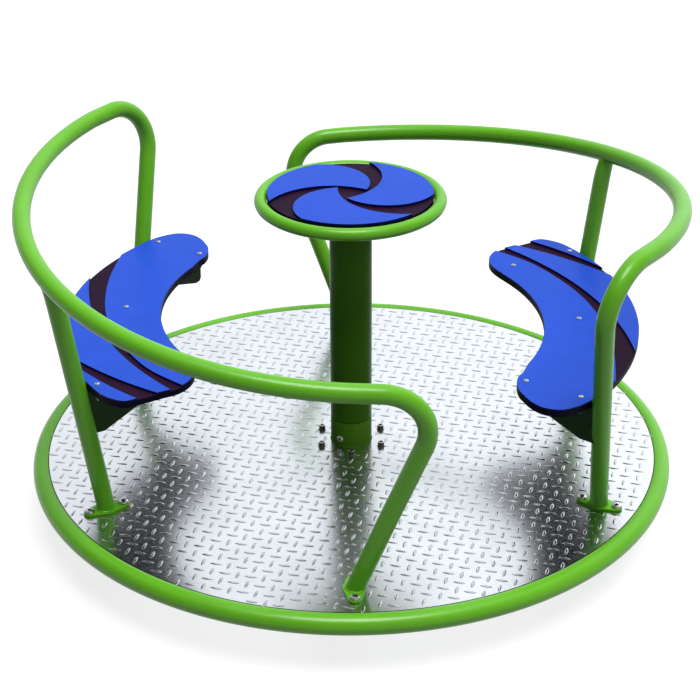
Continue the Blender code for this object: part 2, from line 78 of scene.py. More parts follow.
# sizes shared by several pieces, all in metres; heights are built up from the middle of the rim
rimZ = 0.12
deckTop = rimZ + 0.0203
railTube = 0.0212
columnRadius = 0.0508
footCircle = 0.6645
footAngles = (-28.9, 30.3, 90.5, 151.1, 210.3, 270.5)
flangeTop = deckTop + 0.0063
seatTop = rimZ + 0.3677
seatUnder = seatTop - 0.019
cornerCut = 0.3      # where a rounded corner's middle point lies, as a share of the edge


def polar(angle, radius, z=None):
    a = math.radians(angle)
    if z is None:
        return (radius * math.cos(a), radius * math.sin(a))
    return Vector((radius * math.cos(a), radius * math.sin(a), z))


# node helpers

def startMaterial(name, colour, roughness, metallic=0.0):
    material = bpy.data.materials.new(name)
    material.use_nodes = True
    tree = material.node_tree
    shader = tree.nodes["Principled BSDF"]
    shader.inputs["Base Color"].default_value = (*colour, 1)
    shader.inputs["Roughness"].default_value = roughness
    shader.inputs["Metallic"].default_value = metallic
    return material, tree, shader


def surfacePoint(tree, stretch):
    where = tree.nodes.new("ShaderNodeTexCoord")
    if stretch == (1, 1, 1):
        return where.outputs["Object"]
    mapping = tree.nodes.new("ShaderNodeMapping")
    mapping.inputs["Scale"].default_value = stretch
    tree.links.new(where.outputs["Object"], mapping.inputs["Vector"])
    return mapping.outputs["Vector"]


def noise(tree, scale, detail, rough=0.5, stretch=(1, 1, 1)):
    node = tree.nodes.new("ShaderNodeTexNoise")
    node.inputs["Scale"].default_value = scale
    node.inputs["Detail"].default_value = detail
    node.inputs["Roughness"].default_value = rough
    tree.links.new(surfacePoint(tree, stretch), node.inputs["Vector"])
    return node.outputs["Fac"]


def spread(tree, value, low, high, outLow, outHigh):
    node = tree.nodes.new("ShaderNodeMapRange")
    node.inputs["From Min"].default_value = low
    node.inputs["From Max"].default_value = high
    node.inputs["To Min"].default_value = outLow
    node.inputs["To Max"].default_value = outHigh
    tree.links.new(value, node.inputs["Value"])
    return node.outputs["Result"]


def blendColours(tree, factor, one, two):
    node = tree.nodes.new("ShaderNodeMix")
    node.data_type = "RGBA"
    for index, colour in ((6, one), (7, two)):      # the colour sockets of the mix node
        if isinstance(colour, tuple):
            node.inputs[index].default_value = (*colour, 1)
        else:
            tree.links.new(colour, node.inputs[index])
    tree.links.new(factor, node.inputs[0])
    return node.outputs[2]


def bumpOn(tree, shader, height, spec):
    node = tree.nodes.new("ShaderNodeBump")
    node.inputs["Strength"].default_value = spec["strength"]
    node.inputs["Distance"].default_value = spec["distance"]
    tree.links.new(height, node.inputs["Height"])
    if shader.inputs["Normal"].links:
        tree.links.new(shader.inputs["Normal"].links[0].from_socket, node.inputs["Normal"])
    tree.links.new(node.outputs["Normal"], shader.inputs["Normal"])


def paintedShadeByFacing(tree, upward, shadedSides, low, high):
    # painted shade: upright faces take a darker colour than level ones, for the little light that falls on
    # them
    where = tree.nodes.new("ShaderNodeTexCoord")
    split = tree.nodes.new("ShaderNodeSeparateXYZ")
    tree.links.new(where.outputs["Normal"], split.inputs[0])
    return blendColours(tree, spread(tree, split.outputs["Z"], low, high, 0, 1), shadedSides, upward)


# the part of each noise that shows, from its lowest to its highest value
contrast = {"mottle": (0.35, 0.65), "gloss": (0.3, 0.7), "grain": (0.25, 0.75), "scuffs": (0.60, 0.75)}
paintGrain = {"mottle": 7, "gloss": 60, "glossier": 0.05, "duller": 0.07, "coatRough": 0.12,
              "orangePeel": {"scale": 420, "strength": 0.10, "distance": 0.0006},
              "fine": {"scale": 1600, "strength": 0.04, "distance": 0.0003}}


def makePaint(name, spec):
    material, tree, shader = startMaterial(name, spec["colour"], spec["rough"])
    mottle = noise(tree, paintGrain["mottle"], 4)
    toned = blendColours(tree, spread(tree, mottle, *contrast["mottle"], 0, 1), spec["colour"], spec["shade"])
    tree.links.new(toned, shader.inputs["Base Color"])
    gloss = noise(tree, paintGrain["gloss"], 5, 0.6)
    tree.links.new(spread(tree, gloss, *contrast["gloss"], spec["rough"] - paintGrain["glossier"],
                          spec["rough"] + paintGrain["duller"]), shader.inputs["Roughness"])
    for layer in ("orangePeel", "fine"):
        bumpOn(tree, shader, noise(tree, paintGrain[layer]["scale"], 2), paintGrain[layer])
    shader.inputs["Coat Weight"].default_value = spec["coat"]
    shader.inputs["Coat Roughness"].default_value = paintGrain["coatRough"]
    shader.inputs["Specular IOR Level"].default_value = spec["specular"]
    return material


boardGrain = {"mottle": 14, "scuffs": 55, "scuffStretch": (1, 6, 1), "scuffShare": 0.35, "paler": 1.15,
              "lift": 0.012, "glossier": 0.06, "duller": 0.08, "level": (0.80, 0.97),
              "pebble": {"scale": 900, "strength": 0.16, "distance": 0.0004}}


def makeBoard(name, spec):
    material, tree, shader = startMaterial(name, spec["colour"], spec["rough"])
    mottle = noise(tree, boardGrain["mottle"], 5, 0.6)
    scuffs = noise(tree, boardGrain["scuffs"], 6, 0.7, boardGrain["scuffStretch"])
    toned = blendColours(tree, spread(tree, mottle, *contrast["mottle"], 0, 1), spec["colour"], spec["shade"])
    pale = tuple(min(1, c * boardGrain["paler"] + boardGrain["lift"]) for c in spec["colour"])
    wear = spread(tree, scuffs, *contrast["scuffs"], 0, boardGrain["scuffShare"])
    worn = blendColours(tree, wear, toned, pale)
    # the board's upright edges take its side colour, which is painted shade
    tree.links.new(paintedShadeByFacing(tree, worn, spec["side"], *boardGrain["level"]), shader.inputs["Base Color"])
    tree.links.new(spread(tree, scuffs, *contrast["gloss"], spec["rough"] - boardGrain["glossier"],
                          spec["rough"] + boardGrain["duller"]), shader.inputs["Roughness"])
    bumpOn(tree, shader, noise(tree, boardGrain["pebble"]["scale"], 3, 0.6), boardGrain["pebble"])
    shader.inputs["Specular IOR Level"].default_value = spec["specular"]
    return material


steelGrain = {"cloud": 9, "cloudShade": 0.90, "grain": 240, "glossier": 0.06, "duller": 0.08,
              "level": (0.15, 0.50), "bump": {"strength": 0.02, "distance": 0.0003}}


def makeSteel(name, spec):
    # a side colour, where there is one, darkens the upright faces: painted shade on the bolt heads' sides
    material, tree, shader = startMaterial(name, spec["colour"], spec["rough"], 1.0)
    cloud = noise(tree, steelGrain["cloud"], 5, 0.6)
    grain = noise(tree, steelGrain["grain"], 3, 0.6, spec["brushed"])
    shade = tuple(c * steelGrain["cloudShade"] for c in spec["colour"])
    toned = blendColours(tree, spread(tree, cloud, *contrast["gloss"], 0, 1), spec["colour"], shade)
    if "side" in spec:
        toned = paintedShadeByFacing(tree, toned, spec["side"], *steelGrain["level"])
    tree.links.new(toned, shader.inputs["Base Color"])
    tree.links.new(spread(tree, grain, *contrast["grain"], spec["rough"] - steelGrain["glossier"],
                          spec["rough"] + steelGrain["duller"]), shader.inputs["Roughness"])
    bumpOn(tree, shader, grain, steelGrain["bump"])
    return material


paint = {"lime": {"colour": (0.125, 0.430, 0.012), "shade": (0.115, 0.405, 0.010),
                  "rough": 0.34, "coat": 0.12, "specular": 0.22},
         # the column's green is the lime paint darkened: painted shade under the table, on the column, hub
         # and collar weld
         "column": {"colour": (0.058, 0.155, 0.012), "shade": (0.050, 0.140, 0.010),
                    "rough": 0.30, "coat": 0.0, "specular": 0.03},
         # the brackets' dark green paint, darkened further as painted shade under the seats
         "bracket": {"colour": (0.019, 0.050, 0.016), "shade": (0.016, 0.044, 0.014),
                     "rough": 0.42, "coat": 0.0, "specular": 0.10}}
# the side colours are painted shade for the boards' upright edges
board = {"blue": {"colour": (0.016, 0.073, 0.540), "shade": (0.014, 0.067, 0.505),
                  "side": (0.001, 0.004, 0.055), "rough": 0.42, "specular": 0.06},
         "core": {"colour": (0.018, 0.004, 0.020), "shade": (0.015, 0.003, 0.017),
                  "side": (0.004, 0.003, 0.014), "rough": 0.50, "specular": 0.03},
         # the near-black of the strip that paints the gap's shadow round the deck
         "gapShadowDark": {"colour": (0.006, 0.007, 0.006), "shade": (0.004, 0.005, 0.004),
                    "side": (0.004, 0.005, 0.004), "rough": 0.7, "specular": 0.02}}
metal = {"deck": {"colour": (0.86, 0.87, 0.89), "rough": 0.20, "brushed": (1, 6, 1)},
         "bars": {"colour": (0.66, 0.67, 0.69), "rough": 0.19, "brushed": (1, 1, 1)},
         # the bolt's side colour paints shade on the heads' upright faces
         "bolt": {"colour": (0.74, 0.74, 0.73), "rough": 0.22, "brushed": (1, 1, 4),
                  "side": (0.10, 0.10, 0.10)},
         "screw": {"colour": (0.74, 0.74, 0.73), "rough": 0.30, "brushed": (1, 1, 1)},
         "zinc": {"colour": (0.42, 0.43, 0.44), "rough": 0.5, "brushed": (1, 1, 1)}}
limePaint = makePaint("limePowderCoat", paint["lime"])
columnShadedPaint = makePaint("columnShadedGloss", paint["column"])
bracketShadedPaint = makePaint("bracketShadedPowderCoat", paint["bracket"])
blueSkin = makeBoard("blueBoardSkin", board["blue"])
darkCore = makeBoard("maroonBoardCore", board["core"])
deckMetal = makeSteel("brightDeckPlate", metal["deck"])
barMetal = makeSteel("brightDeckBars", metal["bars"])
boltSteel = makeSteel("boltSteel", metal["bolt"])
screwSteel = makeSteel("screwSteel", metal["screw"])
zincSteel = makeSteel("dullZinc", metal["zinc"])
gapShadowBlack = makeBoard("gapShadowBlack", board["gapShadowDark"])
print("materials made")


# piece helpers

def dress(piece, body, material, smoothAngle=35):
    piece.data.materials.clear()
    piece.data.materials.append(material)
    piece.data.shade_smooth()
    piece.data.set_sharp_from_angle(angle=math.radians(smoothAngle))
    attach(piece, body)
    return piece


def pieceFrom(name, bm):
    bmesh.ops.recalc_face_normals(bm, faces=bm.faces)
    mesh = bpy.data.meshes.new(name)
    bm.to_mesh(mesh)
    bm.free()
    piece = bpy.data.objects.new(name, mesh)
    scene.collection.objects.link(piece)
    return piece


def skinRings(bm, rings, closed=False):
    # quads from ring to ring; a ring of one vertex closes to a point
    count = len(rings)
    for i in range(count if closed else count - 1):
        one, two = rings[i], rings[(i + 1) % count]
        for s in range(max(len(one), len(two))):
            if len(one) == 1:
                t = (s + 1) % len(two)
                bm.faces.new((one[0], two[t], two[s]))
            elif len(two) == 1:
                t = (s + 1) % len(one)
                bm.faces.new((one[s], one[t], two[0]))
            else:
                t = (s + 1) % len(one)
                bm.faces.new((one[s], one[t], two[t], two[s]))


def capEnds(bm, rings):
    bm.faces.new(rings[0][::-1])
    bm.faces.new(rings[-1])


def turnedPiece(name, profile, sides, centre=(0, 0), closed=False):
    bm = bmesh.new()
    rings = []
    for radius, z in profile:
        if radius == 0:
            rings.append([bm.verts.new((centre[0], centre[1], z))])
        else:
            ring = [polar(360 * k / sides, radius) for k in range(sides)]
            rings.append([bm.verts.new((x + centre[0], y + centre[1], z)) for x, y in ring])
    skinRings(bm, rings, closed)
    return pieceFrom(name, bm)


def framesAlong(path, closed=False):
    # each point with two directions across the path, carried on without a twist
    frames = []
    side = None
    count = len(path)
    for i, point in enumerate(path):
        before = path[(i - 1) % count] if closed else path[max(i - 1, 0)]
        after = path[(i + 1) % count] if closed else path[min(i + 1, count - 1)]
        ahead = (after - before).normalized()
        if side is None:
            side = ahead.cross(Vector((0, 0, 1)) if abs(ahead.z) < 0.9 else Vector((0, 1, 0)))
        side = (side - ahead * side.dot(ahead)).normalized()
        frames.append((point, side, ahead.cross(side)))
    return frames


def tubeAlong(name, path, radius, sides, closed=False):
    # radius may be a number or a function of the point's index
    bm = bmesh.new()
    rings = []
    for i, (point, side, over) in enumerate(framesAlong(path, closed)):
        r = radius(i) if callable(radius) else radius
        rings.append([bm.verts.new(point + r * (math.cos(a) * side + math.sin(a) * over))
                      for a in [2 * math.pi * s / sides for s in range(sides)]])
    skinRings(bm, rings, closed)
    if not closed:
        capEnds(bm, rings)
    return pieceFrom(name, bm)


def prismFrom(name, outline, low, high):
    bm = bmesh.new()
    rings = [[bm.verts.new((x, y, z)) for x, y in outline] for z in (low, high)]
    skinRings(bm, rings)
    capEnds(bm, rings)
    return pieceFrom(name, bm)


def cutLevel(piece, height):
    # takes off all that lies below the height and closes the cut
    bm = bmesh.new()
    bm.from_mesh(piece.data)
    cut = bmesh.ops.bisect_plane(bm, geom=bm.verts[:] + bm.edges[:] + bm.faces[:], plane_co=(0, 0, height),
                                 plane_no=(0, 0, -1), clear_outer=True)
    bmesh.ops.contextual_create(bm, geom=[e for e in cut["geom_cut"] if isinstance(e, bmesh.types.BMEdge)])
    bmesh.ops.recalc_face_normals(bm, faces=bm.faces)
    bm.to_mesh(piece.data)
    bm.free()
    return piece


def turnPiece(piece, angle, spot=(0, 0, 0)):
    piece.data.transform(Matrix.Translation(spot) @ Matrix.Rotation(math.radians(angle), 4, "Z"))
    return piece


def joinPieces(name, parts):
    bm = bmesh.new()
    for part in parts:
        bm.from_mesh(part.data)
        bpy.data.objects.remove(part, do_unlink=True)
    return pieceFrom(name, bm)


def bend(before, corner, after, radius, steps):
    # the round of a bent tube in place of a sharp corner
    a = (before - corner).normalized()
    b = (after - corner).normalized()
    half = a.angle(b) / 2
    middle = corner + (a + b).normalized() * (radius / math.sin(half))
    first = (corner + a * (radius / math.tan(half)) - middle) / radius
    last = corner + b * (radius / math.tan(half)) - middle
    second = (last - first * last.dot(first)).normalized()
    sweep = math.pi - 2 * half
    return [middle + radius * (math.cos(sweep * k / steps) * first + math.sin(sweep * k / steps) * second)
            for k in range(steps + 1)]


def roundEdges(piece, width, segments=2, angle=40):
    # joins loose corners first, so that the edges round cleanly
    joined = piece.modifiers.new("weld", "WELD")
    joined.merge_threshold = 0.00002
    rounded = piece.modifiers.new("roundEdges", "BEVEL")
    rounded.width = width
    rounded.segments = segments
    rounded.limit_method = "ANGLE"
    rounded.angle_limit = math.radians(angle)
    rounded.harden_normals = True
    return piece


boardEdge = {"segments": 3, "angle": 50, "smooth": 45}


def dressBoard(piece, body, material, width):
    rounded = roundEdges(piece, width, boardEdge["segments"], boardEdge["angle"])
    return dress(rounded, body, material, boardEdge["smooth"])


# edge rim, one round tube
rim = {"radius": 0.76585, "tube": 0.02415, "segments": 240, "sides": 40}
ringPath = [polar(360 * k / rim["segments"], rim["radius"], rimZ) for k in range(rim["segments"])]
rimPiece = tubeAlong("edgeRim", ringPath, rim["tube"], rim["sides"], closed=True)
dress(rimPiece, "platform", limePaint)
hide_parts("rim")
print("rim made")


# deck plate
deck = {"radius": 0.7457, "topRadius": 0.7515, "thick": 0.005, "bore": 0.0510, "edge": 0.0003, "sides": 240}
deckUnder = deckTop - deck["thick"]
deckPiece = turnedPiece("deckPlate", [
    (deck["bore"], deckUnder), (deck["radius"], deckUnder), (deck["topRadius"], deckTop - deck["edge"]),
    (deck["topRadius"] - deck["edge"], deckTop), (deck["bore"], deckTop)], deck["sides"], closed=True)
dress(deckPiece, "platform", deckMetal)
deckPiece.visible_diffuse = False
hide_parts("deck")


# raised bars on the plate, two ways by turns; stations and section are shares of a bar's half length, half
# width and height
bars = {"start": (-0.5200, -0.4470), "pitch": 0.030, "turn": -14.4, "length": 0.0295, "width": 0.0086,
        "height": 0.0014, "sunk": 0.0002, "sideTaper": 0.75, "topTaper": 0.7, "reach": 60,
        "fromCentre": 0.062, "fromEdge": 0.008, "footLong": 0.050, "footWide": 0.030,
        "stations": (-1, -0.86, -0.48, 0, 0.48, 0.86, 1),
        "section": ((-1, 0), (-0.82, 0.66), (-0.60, 0.92), (0, 1), (0.60, 0.92), (0.82, 0.66), (1, 0))}


def clearOfFeet(x, y):
    # bars stop at the collar, at each foot plate and at the rim
    r = math.hypot(x, y)
    if r < bars["fromCentre"] or r > deck["topRadius"] - bars["fromEdge"]:
        return False
    for angle in footAngles:
        fx, fy = polar(angle, footCircle)
        along = abs((x * fx + y * fy) / footCircle - footCircle)
        across = abs(x * fy - y * fx) / footCircle
        if along < bars["footLong"] and across < bars["footWide"]:
            return False
    return True


def barRows(bm, x, y, ax, ay):
    # the sections of one bar, with a point at each end
    rows = []
    low = deckTop - bars["sunk"]
    for t in bars["stations"]:
        half = bars["width"] / 2 * (1 - t * t) ** bars["sideTaper"]
        high = bars["height"] * (1 - abs(t) ** 3) ** bars["topTaper"]
        mx, my = x + ax * t * bars["length"] / 2, y + ay * t * bars["length"] / 2
        if abs(t) == 1:
            rows.append([bm.verts.new((mx, my, low))])
        else:
            rows.append([bm.verts.new((mx - ay * w * half, my + ax * w * half, low + high * h))
                         for w, h in bars["section"]])
    return rows


def makeBars():
    bm = bmesh.new()
    c, s = polar(bars["turn"], 1)
    for i in range(-bars["reach"], bars["reach"]):
        for j in range(-bars["reach"], bars["reach"]):
            x = bars["start"][0] + bars["pitch"] * (i * c - j * s)
            y = bars["start"][1] + bars["pitch"] * (i * s + j * c)
            if clearOfFeet(x, y):
                ax, ay = (c, s) if (i + j) % 2 == 0 else (-s, c)
                skinRings(bm, barRows(bm, x, y, ax, ay))
    return pieceFrom("deckBars", bm)


barPiece = dress(makeBars(), "platform", barMetal, 80)
barPiece.visible_diffuse = False
facesPerBar = len(bars["section"]) * (len(bars["stations"]) - 1)
print("deck made, bars:", len(barPiece.data.polygons) // facesPerBar)


# painted shadow: a near-black strip lying low in the gap round the plate draws the gap's shadow as a dark
# line
gapShadowStrip = {"inner": 0.7506, "outer": 0.7524, "low": deckTop - 0.0040, "high": deckTop + 0.0001}
gapShadowPiece = turnedPiece("deckEdgeGapShadow", [
    (gapShadowStrip["inner"], gapShadowStrip["low"]), (gapShadowStrip["outer"], gapShadowStrip["low"]),
    (gapShadowStrip["outer"], gapShadowStrip["high"]), (gapShadowStrip["inner"], gapShadowStrip["high"])], deck["sides"], closed=True)
dress(gapShadowPiece, "platform", gapShadowBlack)


# hub: collar, drum and housing turned as one
hub = {"collarTop": rimZ + 0.0850, "drum": 0.100, "drumBottom": 0.0962, "drumTop": deckUnder - 0.0004,
       "housing": 0.070, "housingBottom": 0.055, "bore": 0.0308, "edge": 0.0009, "sides": 96}
hubPiece = turnedPiece("hubCollar", [
    (hub["bore"], hub["housingBottom"]), (hub["housing"] - hub["edge"], hub["housingBottom"]),
    (hub["housing"], hub["housingBottom"] + hub["edge"]), (hub["housing"], hub["drumBottom"]),
    (hub["drum"] - hub["edge"], hub["drumBottom"]), (hub["drum"], hub["drumBottom"] + hub["edge"]),
    (hub["drum"], hub["drumTop"]), (columnRadius, hub["drumTop"]),
    (columnRadius, hub["collarTop"] - hub["edge"]),
    (columnRadius - hub["edge"] * cornerCut, hub["collarTop"] - hub["edge"] * cornerCut),
    (columnRadius - hub["edge"], hub["collarTop"]), (hub["bore"], hub["collarTop"])],
    hub["sides"], closed=True)
dress(hubPiece, "platform", columnShadedPaint, 30)
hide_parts("hub")


# welds: one round the collar, one at each foot and one at the top of each post
weld = {"ripple": 0.10, "sides": 10, "collarBead": 0.0011, "collarLift": 0.0006, "collarRipples": 64,
        "collarSteps": 192, "footBead": 0.0022, "postBead": 0.0008, "lift": 0.0004, "steps": 96,
        "ripples": 30}


def weldRing(name, path, radius, ripples):
    count = len(path)
    return tubeAlong(name, path,
                     lambda i: radius * (1 + weld["ripple"] * math.sin(2 * math.pi * ripples * i / count)),
                     weld["sides"], closed=True)


collarLine = [polar(360 * k / weld["collarSteps"], columnRadius + weld["collarLift"],
                    deckTop + weld["collarLift"]) for k in range(weld["collarSteps"])]
dress(weldRing("collarWeld", collarLine, weld["collarBead"], weld["collarRipples"]), "platform", columnShadedPaint)


# fixed column
column = {"bottom": rimZ + 0.0875, "edge": 0.0009, "sides": 96, "top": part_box("column")[1][2]}
columnPiece = turnedPiece("middleColumn", [
    (0, column["bottom"]), (columnRadius - column["edge"], column["bottom"]),
    (columnRadius - column["edge"] * cornerCut, column["bottom"] + column["edge"] * cornerCut),
    (columnRadius, column["bottom"] + column["edge"]), (columnRadius, column["top"]), (0, column["top"])],
    column["sides"])
dress(columnPiece, "base", columnShadedPaint, 30)
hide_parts("column")
print("hub and column made")


# bolt heads, in shares of their radius and height, and the socket in all of them
capHead = ((1, 0), (1, 0.84), (0.97, 0.94), (0.88, 1))
buttonHead = ((1, 0), (1, 0.18), (0.93, 0.48), (0.78, 0.78), (0.60, 0.95), (0.52, 1))
socketShape = {"flare": 1.06, "lip": 0.0004, "point": 1.15}


def hexRadius(angle, flat):
    return flat / math.cos(math.radians((angle + 30) % 60 - 30))


def socketBolt(name, shape, spec, sides=36):
    # a head with a six-sided socket, standing on z = 0
    radius, height, depth = spec["radius"], spec["height"], spec["depth"]
    turns = [360 * k / sides for k in range(sides)]
    bm = bmesh.new()
    rings = [[bm.verts.new((0, 0, 0))]]
    rings += [[bm.verts.new((*polar(a, radius * r), height * z)) for a in turns] for r, z in shape]
    for z, grow in ((height, socketShape["flare"]), (height - socketShape["lip"], 1.0),
                    (height - depth, 1.0)):
        rings.append([bm.verts.new((*polar(a, hexRadius(a, spec["socket"]) * grow), z)) for a in turns])
    rings.append([bm.verts.new((0, 0, height - depth * socketShape["point"]))])
    skinRings(bm, rings)
    return pieceFrom(name, bm)


# cap heads on washers round the collar
hubBolt = {"radius": 0.0078, "height": 0.0100, "socket": 0.0042, "depth": 0.006, "circle": 0.085, "first": 30,
           "turnEach": 17}
washer = {"radius": 0.0100, "low": deckTop + 0.0003, "top": deckTop + 0.0018, "edge": 0.0003, "sides": 36}
for k in range(6):
    spot = polar(hubBolt["first"] + 60 * k, hubBolt["circle"])
    head = turnPiece(socketBolt("head", capHead, hubBolt), hubBolt["turnEach"] * k, (*spot, washer["top"]))
    under = turnedPiece("washer", [
        (0, washer["low"]), (washer["radius"] - washer["edge"], washer["low"]),
        (washer["radius"], washer["low"] + washer["edge"]),
        (washer["radius"], washer["top"] - washer["edge"]),
        (washer["radius"] - washer["edge"], washer["top"]), (0, washer["top"])], washer["sides"], spot)
    bolt = dress(joinPieces("hubBolt%d" % (k + 1), [head, under]), "platform", boltSteel, 30)
    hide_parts("hub_bolt_%d" % (k + 1))

# one button head in the collar's side
collarScrew = {"angle": 237, "z": rimZ + 0.040, "sunk": 0.0005, "radius": 0.0088, "height": 0.0050,
               "socket": 0.0045, "depth": 0.0046}
screw = socketBolt("collarScrew", buttonHead, collarScrew)
screw.data.transform(
    Matrix.Translation(polar(collarScrew["angle"], columnRadius - collarScrew["sunk"], collarScrew["z"]))
    @ Matrix.Rotation(math.radians(collarScrew["angle"]), 4, "Z") @ Matrix.Rotation(math.radians(90), 4, "Y"))
dress(screw, "platform", screwSteel, 30)
print("bolts made")


# foot plates of rails and posts: a round waist with two round ends, and a button head in each end
flange = {"half": 0.0565, "end": 0.0145, "endSteps": 16, "waist": 0.0265, "waistSteps": 12,
          "low": deckTop + 0.0003, "edge": 0.0008}
footBolt = {"out": 0.043, "radius": 0.0120, "height": 0.0065, "socket": 0.0042, "depth": 0.0032,
            "turnEach": 23}


def flangeOutline(shrink):
    points = []
    end = flange["end"] - shrink
    waist = flange["waist"] - shrink
    reach = flange["half"] - flange["end"]
    lean = math.degrees(math.acos((waist - end) / reach))
    for start, sign in ((0, 1), (180, -1)):
        for k in range(flange["endSteps"] + 1):
            x, y = polar(start - lean + 2 * lean * k / flange["endSteps"], end)
            points.append((x + sign * reach, y))
        for k in range(1, flange["waistSteps"]):
            points.append(polar(start + lean + (180 - 2 * lean) * k / flange["waistSteps"], waist))
    return points


def makeFootPlate(name):
    low, high, edge = flange["low"], flangeTop, flange["edge"]
    bm = bmesh.new()
    rings = []
    cut = edge * cornerCut
    for z, shrink in ((low, edge), (low + cut, cut), (low + edge, 0), (high - edge, 0), (high - cut, cut),
                      (high, edge)):
        rings.append([bm.verts.new((x, y, z)) for x, y in flangeOutline(shrink)])
    skinRings(bm, rings)
    capEnds(bm, rings)
    return pieceFrom(name, bm)


for k, angle in enumerate(footAngles):
    plate = turnPiece(makeFootPlate("footPlate%d" % (k + 1)), angle, polar(angle, footCircle, 0))
    dress(plate, "platform", limePaint, 30)
    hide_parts("foot_flange_%d" % (k + 1))
    for side, label in ((-1, "in"), (1, "out")):
        head = socketBolt("footBolt%d%s" % (k + 1, label), buttonHead, footBolt)
        spot = polar(angle, footCircle + side * footBolt["out"], flangeTop)
        turnPiece(head, footBolt["turnEach"] * k, spot)
        dress(head, "platform", boltSteel, 30)
print("foot plates made")


# hand rails and posts; a rail runs from its front foot over knee 1, corner 1, the arc, corner 2 and knee 2
rail = {"arcFrom": -33.3, "arcTo": 93.1, "arcSteps": 100, "rStart": 0.7727, "rEnd": 0.7446, "rFrom": -37,
        "rTo": 94, "level": rimZ + 0.6313, "slopeX": 0.0602, "slopeY": -0.1096,
        "knee1": (0.5735, -0.3578, rimZ + 0.0835),
        "corner1": (0.5223, -0.5873, rimZ + 0.7224), "bend1": 0.105, "steps1": 36,
        "corner2": (-0.1982, 0.7314, rimZ + 0.5324), "bend2": 0.1048, "steps2": 34,
        "knee2": (-0.0889, 0.6936, rimZ + 0.2456), "kneeBend": 0.60, "kneeSteps": 8,
        "sides": 40, "overrun": 0.03, "footCut": flangeTop + 0.0003}
post = {"angle": footAngles[1], "topRadius": 0.7530, "drop": 0.008, "neck": 0.060, "neckSteps": 4,
        "topTube": 0.0190, "intoRail": 0.002, "sides": 96}


def railPoint(angle):
    share = (angle - rail["rFrom"]) / (rail["rTo"] - rail["rFrom"])
    x, y = polar(angle, rail["rStart"] + (rail["rEnd"] - rail["rStart"]) * share)
    return Vector((x, y, rail["level"] + rail["slopeX"] * x + rail["slopeY"] * y))


def railPath():
    foot1, foot2 = polar(footAngles[0], footCircle, deckTop), polar(footAngles[2], footCircle, deckTop)
    corner1, corner2 = Vector(rail["corner1"]), Vector(rail["corner2"])
    knee1, knee2 = Vector(rail["knee1"]), Vector(rail["knee2"])
    steps = rail["arcSteps"]
    arc = [railPoint(rail["arcFrom"] + (rail["arcTo"] - rail["arcFrom"]) * k / steps)
           for k in range(steps + 1)]
    path = [foot1 + (foot1 - knee1).normalized() * rail["overrun"]]
    path += bend(foot1, knee1, corner1, rail["kneeBend"], rail["kneeSteps"])
    path += bend(knee1, corner1, arc[0], rail["bend1"], rail["steps1"])
    path += arc[1:-1]
    path += bend(arc[-1], corner2, knee2, rail["bend2"], rail["steps2"])
    path += bend(corner2, knee2, foot2, rail["kneeBend"], rail["kneeSteps"])
    path.append(foot2 + (foot2 - knee2).normalized() * rail["overrun"])
    return path


def footWeldLine(foot, way):
    # the line where a leaning tube meets the top of its foot plate
    points = []
    side = way.cross(Vector((0, 0, 1))).normalized()
    over = side.cross(way).normalized()
    for k in range(weld["steps"]):
        a = 2 * math.pi * k / weld["steps"]
        start = foot + (railTube + weld["lift"]) * (math.cos(a) * side + math.sin(a) * over)
        points.append(start - way * ((start.z - flangeTop - weld["lift"]) / way.z))
    return points


def copeLines(foot, way, centre, ahead):
    # for each line up the post's side: its start at the foot, how far it runs, and where it meets the rail
    lines = []
    side = way.cross(ahead).normalized()
    over = (ahead - way * ahead.dot(way)).normalized()
    flatWay = way - ahead * way.dot(ahead)
    shift = side * side.dot(centre - foot)
    for k in range(post["sides"]):
        a = 2 * math.pi * k / post["sides"]
        out = math.cos(a) * side + math.sin(a) * over
        off = foot + shift + post["topTube"] * out - centre
        flatOff = off - ahead * off.dot(ahead)
        qa, qb, qc = flatWay.dot(flatWay), 2 * flatOff.dot(flatWay), flatOff.dot(flatOff) - railTube ** 2
        run = (-qb - math.sqrt(qb * qb - 4 * qa * qc)) / (2 * qa)
        lines.append((foot + railTube * out, run, centre + off + way * run))
    return lines


def copedPost(name, lines, way):
    # straight up to the neck, then drawn in to the round of the rail
    bm = bmesh.new()
    rings = [[bm.verts.new(start - way * rail["overrun"]) for start, run, met in lines]]
    for k in range(post["neckSteps"] + 1):
        share = k / post["neckSteps"]
        ring = []
        for start, run, met in lines:
            straight = start + way * (run - post["neck"] * (1 - share))
            ring.append(bm.verts.new(straight + (met - start - way * run) * share ** 2))
        rings.append(ring)
    rings.append([bm.verts.new(met + way * post["intoRail"]) for start, run, met in lines])
    skinRings(bm, rings)
    capEnds(bm, rings)
    return pieceFrom(name, bm)


